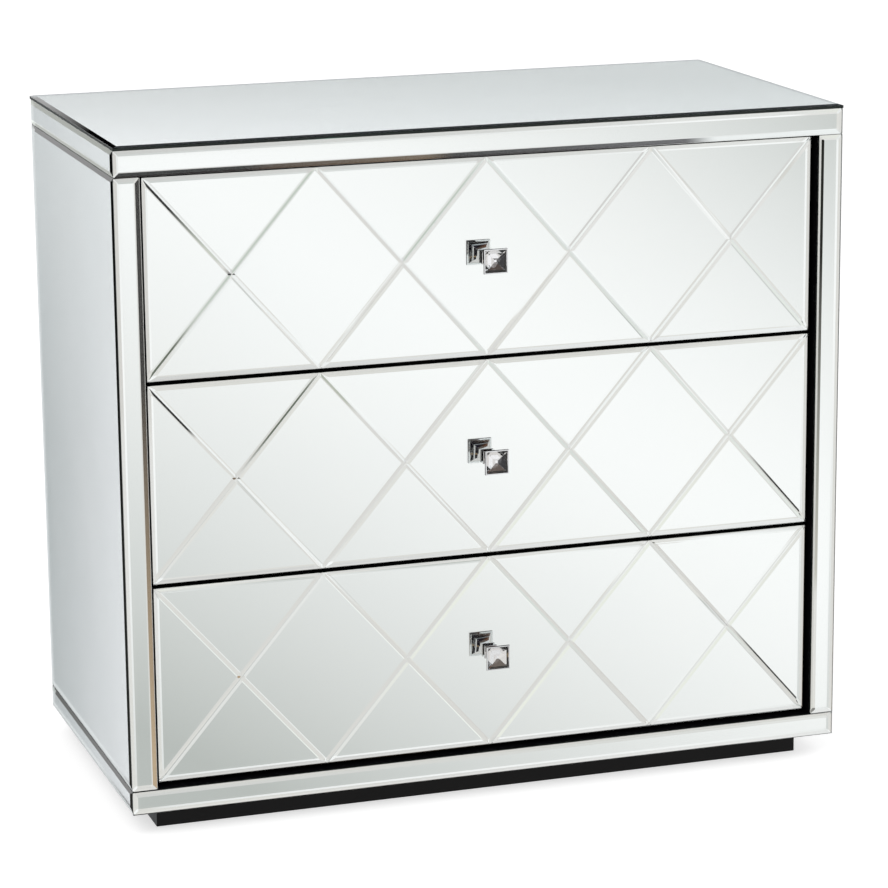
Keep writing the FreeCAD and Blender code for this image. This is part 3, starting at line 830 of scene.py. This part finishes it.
def panHeadScrews(make):
    # A pan head with a cross recess, standing on the point, and a tapered shank that hangs below it
    tree, given = newTree("panHeadScrews", (
        "Head radius", "Head height", "Shank radius", "Shank length", "Recess width", "Recess length"))
    ball = addNode(tree, "GeometryNodeMeshUVSphere", {
        "Segments": make["headSides"], "Rings": make["headRings"], "Radius": given["Head radius"]})
    place = addNode(tree, "GeometryNodeInputPosition")
    x, y, z = addNode(tree, "ShaderNodeSeparateXYZ", {0: place}).outputs
    flatFrom = addNode(tree, "ShaderNodeMath", {
        0: given["Head radius"], 1: make["flatFrom"]}, operation="MULTIPLY")
    # 1 at the rim and under the head, 0 on its flat top
    below = addNode(tree, "ShaderNodeMapRange", {
        "Value": z, "From Min": 0.0, "From Max": flatFrom, "To Min": 1.0, "To Max": 0.0})
    curve = addNode(tree, "ShaderNodeMath", {0: below, 1: make["dome"]}, operation="POWER")
    share = addNode(tree, "ShaderNodeMath", {0: 1.0, 1: curve}, operation="SUBTRACT")
    rise = addNode(tree, "ShaderNodeMath", {0: share, 1: given["Head height"]}, operation="MULTIPLY")
    domed = addNode(tree, "ShaderNodeCombineXYZ", {0: x, 1: y, 2: rise})
    head = addNode(tree, "GeometryNodeSetPosition", {"Geometry": ball, "Position": domed})

    recessed = addNode(
        tree, "GeometryNodeMeshBoolean", {"Mesh 1": head}, operation="DIFFERENCE", solver="MANIFOLD")
    wide, long = given["Recess width"], given["Recess length"]
    raised = addNode(tree, "ShaderNodeCombineXYZ", {2: given["Head height"]})
    for (sizeX, sizeY), depth in zip(((wide, long), (long, wide)), make["recessDeep"]):
        deep = addNode(tree, "ShaderNodeMath", {0: given["Head height"], 1: depth}, operation="MULTIPLY")
        size = addNode(tree, "ShaderNodeCombineXYZ", {0: sizeX, 1: sizeY, 2: deep})
        arm = addNode(tree, "GeometryNodeMeshCube", {"Size": size})
        arm = addNode(tree, "GeometryNodeTransform", {"Geometry": arm, "Translation": raised})
        tree.links.new(arm.outputs[0], recessed.inputs["Mesh 2"])

    tip = addNode(tree, "ShaderNodeMath", {0: given["Shank radius"], 1: make["tip"]}, operation="MULTIPLY")
    shank = addNode(tree, "GeometryNodeMeshCone", {
        "Vertices": make["shankSides"], "Radius Top": given["Shank radius"], "Radius Bottom": tip,
        "Depth": given["Shank length"]})
    down = addNode(tree, "ShaderNodeMath", {0: given["Shank length"], 1: -1.0}, operation="MULTIPLY")
    hang = addNode(tree, "ShaderNodeCombineXYZ", {2: down})
    shank = addNode(tree, "GeometryNodeTransform", {"Geometry": shank, "Translation": hang})
    screw = addNode(tree, "GeometryNodeJoinGeometry", {"Geometry": recessed})
    tree.links.new(shank.outputs[0], screw.inputs["Geometry"])
    return setOnPoints(tree, given, screw)


def ballRows():
    # Two rows of balls along y, above and below the middle line of a slide
    tree, given = newTree("ballRows", ("Ball radius", "Half height", "Pitch"))
    ball = addNode(tree, "GeometryNodeMeshUVSphere", {
        "Segments": 8, "Rings": 6, "Radius": given["Ball radius"]})
    ball = addNode(tree, "GeometryNodeSetShadeSmooth", {"Geometry": ball})
    gaps = addNode(tree, "ShaderNodeMath", {0: given["Number"], 1: 1.0}, operation="SUBTRACT")
    span = addNode(tree, "ShaderNodeMath", {0: gaps, 1: given["Pitch"]}, operation="MULTIPLY")
    start = addNode(tree, "ShaderNodeMath", {0: span, 1: -0.5}, operation="MULTIPLY")
    step = addNode(tree, "ShaderNodeCombineXYZ", {1: given["Pitch"]})
    rows = addNode(tree, "GeometryNodeJoinGeometry")
    for side in (-1.0, 1.0):
        up = addNode(tree, "ShaderNodeMath", {0: given["Half height"], 1: side}, operation="MULTIPLY")
        first = addNode(tree, "ShaderNodeCombineXYZ", {0: up, 1: start})
        line = addNode(tree, "GeometryNodeMeshLine", {
            "Count": given["Number"], "Start Location": first, "Offset": step})
        row = addNode(tree, "GeometryNodeInstanceOnPoints", {"Points": line, "Instance": ball})
        tree.links.new(row.outputs[0], rows.inputs["Geometry"])
    return setOnPoints(tree, given, rows)


def ballCages():
    # A bent strip: its web stands off the balls and its two wings hold the rows
    tree, given = newTree("ballCages", ("Half height", "Pitch", "Sheet", "Web", "Wing"))
    long = addNode(tree, "ShaderNodeMath", {0: given["Number"], 1: given["Pitch"]}, operation="MULTIPLY")
    tall = addNode(tree, "ShaderNodeMath", {0: given["Half height"], 1: 2.0}, operation="MULTIPLY")
    reach = addNode(tree, "ShaderNodeMath", {0: given["Web"], 1: given["Wing"]}, operation="ADD")
    apart = addNode(tree, "ShaderNodeMath", {0: given["Web"], 1: given["Wing"]}, operation="SUBTRACT")
    centre = addNode(tree, "ShaderNodeMath", {0: apart, 1: 0.5}, operation="MULTIPLY")
    halfSheet = addNode(tree, "ShaderNodeMath", {0: given["Sheet"], 1: 0.5}, operation="MULTIPLY")
    webAt = addNode(tree, "ShaderNodeMath", {0: given["Web"], 1: halfSheet}, operation="SUBTRACT")
    low = addNode(tree, "ShaderNodeMath", {0: given["Half height"], 1: -1.0}, operation="MULTIPLY")
    strips = addNode(tree, "GeometryNodeMeshBoolean", operation="UNION", solver="MANIFOLD")
    for sizeX, sizeZ, atX, atZ in ((tall, given["Sheet"], 0.0, webAt), (given["Sheet"], reach, low, centre),
                                   (given["Sheet"], reach, given["Half height"], centre)):
        size = addNode(tree, "ShaderNodeCombineXYZ", {0: sizeX, 1: long, 2: sizeZ})
        at = addNode(tree, "ShaderNodeCombineXYZ", {0: atX, 2: atZ})
        strip = addNode(tree, "GeometryNodeMeshCube", {"Size": size})
        strip = addNode(tree, "GeometryNodeTransform", {"Geometry": strip, "Translation": at})
        tree.links.new(strip.outputs[0], strips.inputs["Mesh 2"])
    return setOnPoints(tree, given, strips)


slideScrew = {"Head radius": 3.2 * mm, "Shank radius": 1.5 * mm, "Shank length": 10 * mm,
              "Recess width": 1.0 * mm, "Recess length": 3.4 * mm}
screwMakes = {
    "panel": {"Head radius": 3.5 * mm, "Head height": 2.2 * mm, "Shank radius": 1.75 * mm,
              "Shank length": 16 * mm, "Recess width": 1.0 * mm, "Recess length": 3.6 * mm, "Seed": 3},
    "knob": {"Head radius": 4 * mm, "Head height": 2.2 * mm, "Shank radius": 2 * mm,
             "Shank length": 32 * mm, "Recess width": 1.1 * mm, "Recess length": 4.2 * mm, "Seed": 8},
    "drawerSlide": {**slideScrew, "Head height": 1.5 * mm, "Seed": 5},
    "cabinetSlide": {**slideScrew, "Head height": 0.6 * mm, "Seed": 6},
}

screwLayout = {
    "panelAcross": 6, "panelUp": 5,                   # gaps between screws along the panel's edges
    "drawerSlide": (-150 * mm, 5 * mm, 160 * mm),     # along y
    "cabinetSlide": (20 * mm, 90 * mm, 160 * mm),
    "sheet": 1.2 * mm,                                # the channels' steel
}

ballMake = {
    "rows": {"Ball radius": 1.6 * mm, "Pitch": 7 * mm, "Number": 17, "Seed": 0},
    "from": 5 * mm,                                   # behind the middle channel's front end
    "outer": {"inwards": 4.8 * mm, "Half height": 19.6 * mm, "Web": 3.4 * mm, "Wing": 2.4 * mm},
    "inner": {"inwards": 6.5 * mm, "Half height": 15.0 * mm, "Web": 2.9 * mm, "Wing": 3.0 * mm},
    "Sheet": 0.4 * mm,
}


def panelScrewPlaces(make, layout):
    low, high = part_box("back_panel_screws")
    left, right = low.x + make["Head radius"], high.x - make["Head radius"]
    bottom, top = low.z + make["Head radius"], high.z - make["Head radius"]
    seat = high.y - make["Head height"]
    spots = []
    for i in range(layout["panelAcross"] + 1):
        x = left + (right - left) * i / layout["panelAcross"]
        spots += [(x, seat, bottom), (x, seat, top)]
    for i in range(1, layout["panelUp"]):
        z = bottom + (top - bottom) * i / layout["panelUp"]
        spots += [(left, seat, z), (right, seat, z)]
    return [(spot, (0, 1, 0)) for spot in spots]


def buildScrews(makes, layout):
    tree = panHeadScrews(screwShape)
    piece = setOut("panel_screws", tree, panelScrewPlaces(makes["panel"], layout), makes["panel"], zinc)
    settle(piece, "carcass", "zinc_plated_steel", "back_panel_screws")
    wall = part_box("cabinet_slide_channels")[1].x - layout["sheet"]
    cabinet = []
    for name in drawerNames:
        prefix = name + "_drawer"
        low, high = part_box(prefix + "_knob_screw")
        seat = ((low.x + high.x) / 2, high.y - makes["knob"]["Head height"], (low.z + high.z) / 2)
        piece = setOut(prefix + "_knob_screw_turned", tree, [(seat, (0, 1, 0))], makes["knob"], zinc)
        settle(piece, prefix, "zinc_plated_steel", prefix + "_knob_screw")

        low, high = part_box(prefix + "_slide_channels")
        z = (low.z + high.z) / 2
        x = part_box(prefix + "_side_right")[1].x + layout["sheet"]
        places = [((side * x, y, z), (side, 0, 0)) for side in (-1, 1) for y in layout["drawerSlide"]]
        piece = setOut(prefix + "_slide_screws", tree, places, makes["drawerSlide"], zinc)
        settle(piece, prefix, "zinc_plated_steel")
        cabinet += [((side * wall, y, z), (-side, 0, 0)) for side in (-1, 1) for y in layout["cabinetSlide"]]
    piece = setOut("cabinet_slide_screws", tree, cabinet, makes["cabinetSlide"], zinc)
    settle(piece, "carcass", "zinc_plated_steel")


def buildBalls(make):
    rowTree, cageTree = ballRows(), ballCages()
    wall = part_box("cabinet_slide_channels")[1].x
    half = make["rows"]["Number"] * make["rows"]["Pitch"] / 2
    outer = []
    for name in drawerNames:
        low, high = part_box(name + "_slide_middle_channels")
        y, z = low.y + make["from"] + half, (low.z + high.z) / 2
        outer += [((side * (wall - make["outer"]["inwards"]), y, z), (side, 0, 0)) for side in (-1, 1)]
        inner = [((side * (wall - make["inner"]["inwards"]), y, z), (side, 0, 0)) for side in (-1, 1)]
        sizes = {**make["rows"], **make["inner"], "Sheet": make["Sheet"]}
        for tree, label, material in ((rowTree, "_inner_balls", balls), (cageTree, "_inner_cages", zinc)):
            piece = setOut(name + label, tree, inner, sizes, material)
            settle(piece, name + "_slide_middles", "zinc_plated_steel")
    sizes = {**make["rows"], **make["outer"], "Sheet": make["Sheet"]}
    for tree, label, material in ((rowTree, "outer_balls", balls), (cageTree, "outer_cages", zinc)):
        settle(setOut(label, tree, outer, sizes, material), "carcass", "zinc_plated_steel")


buildScrews(screwMakes, screwLayout)
buildBalls(ballMake)
print("stage: screws, balls and cages")


print("stage: done")
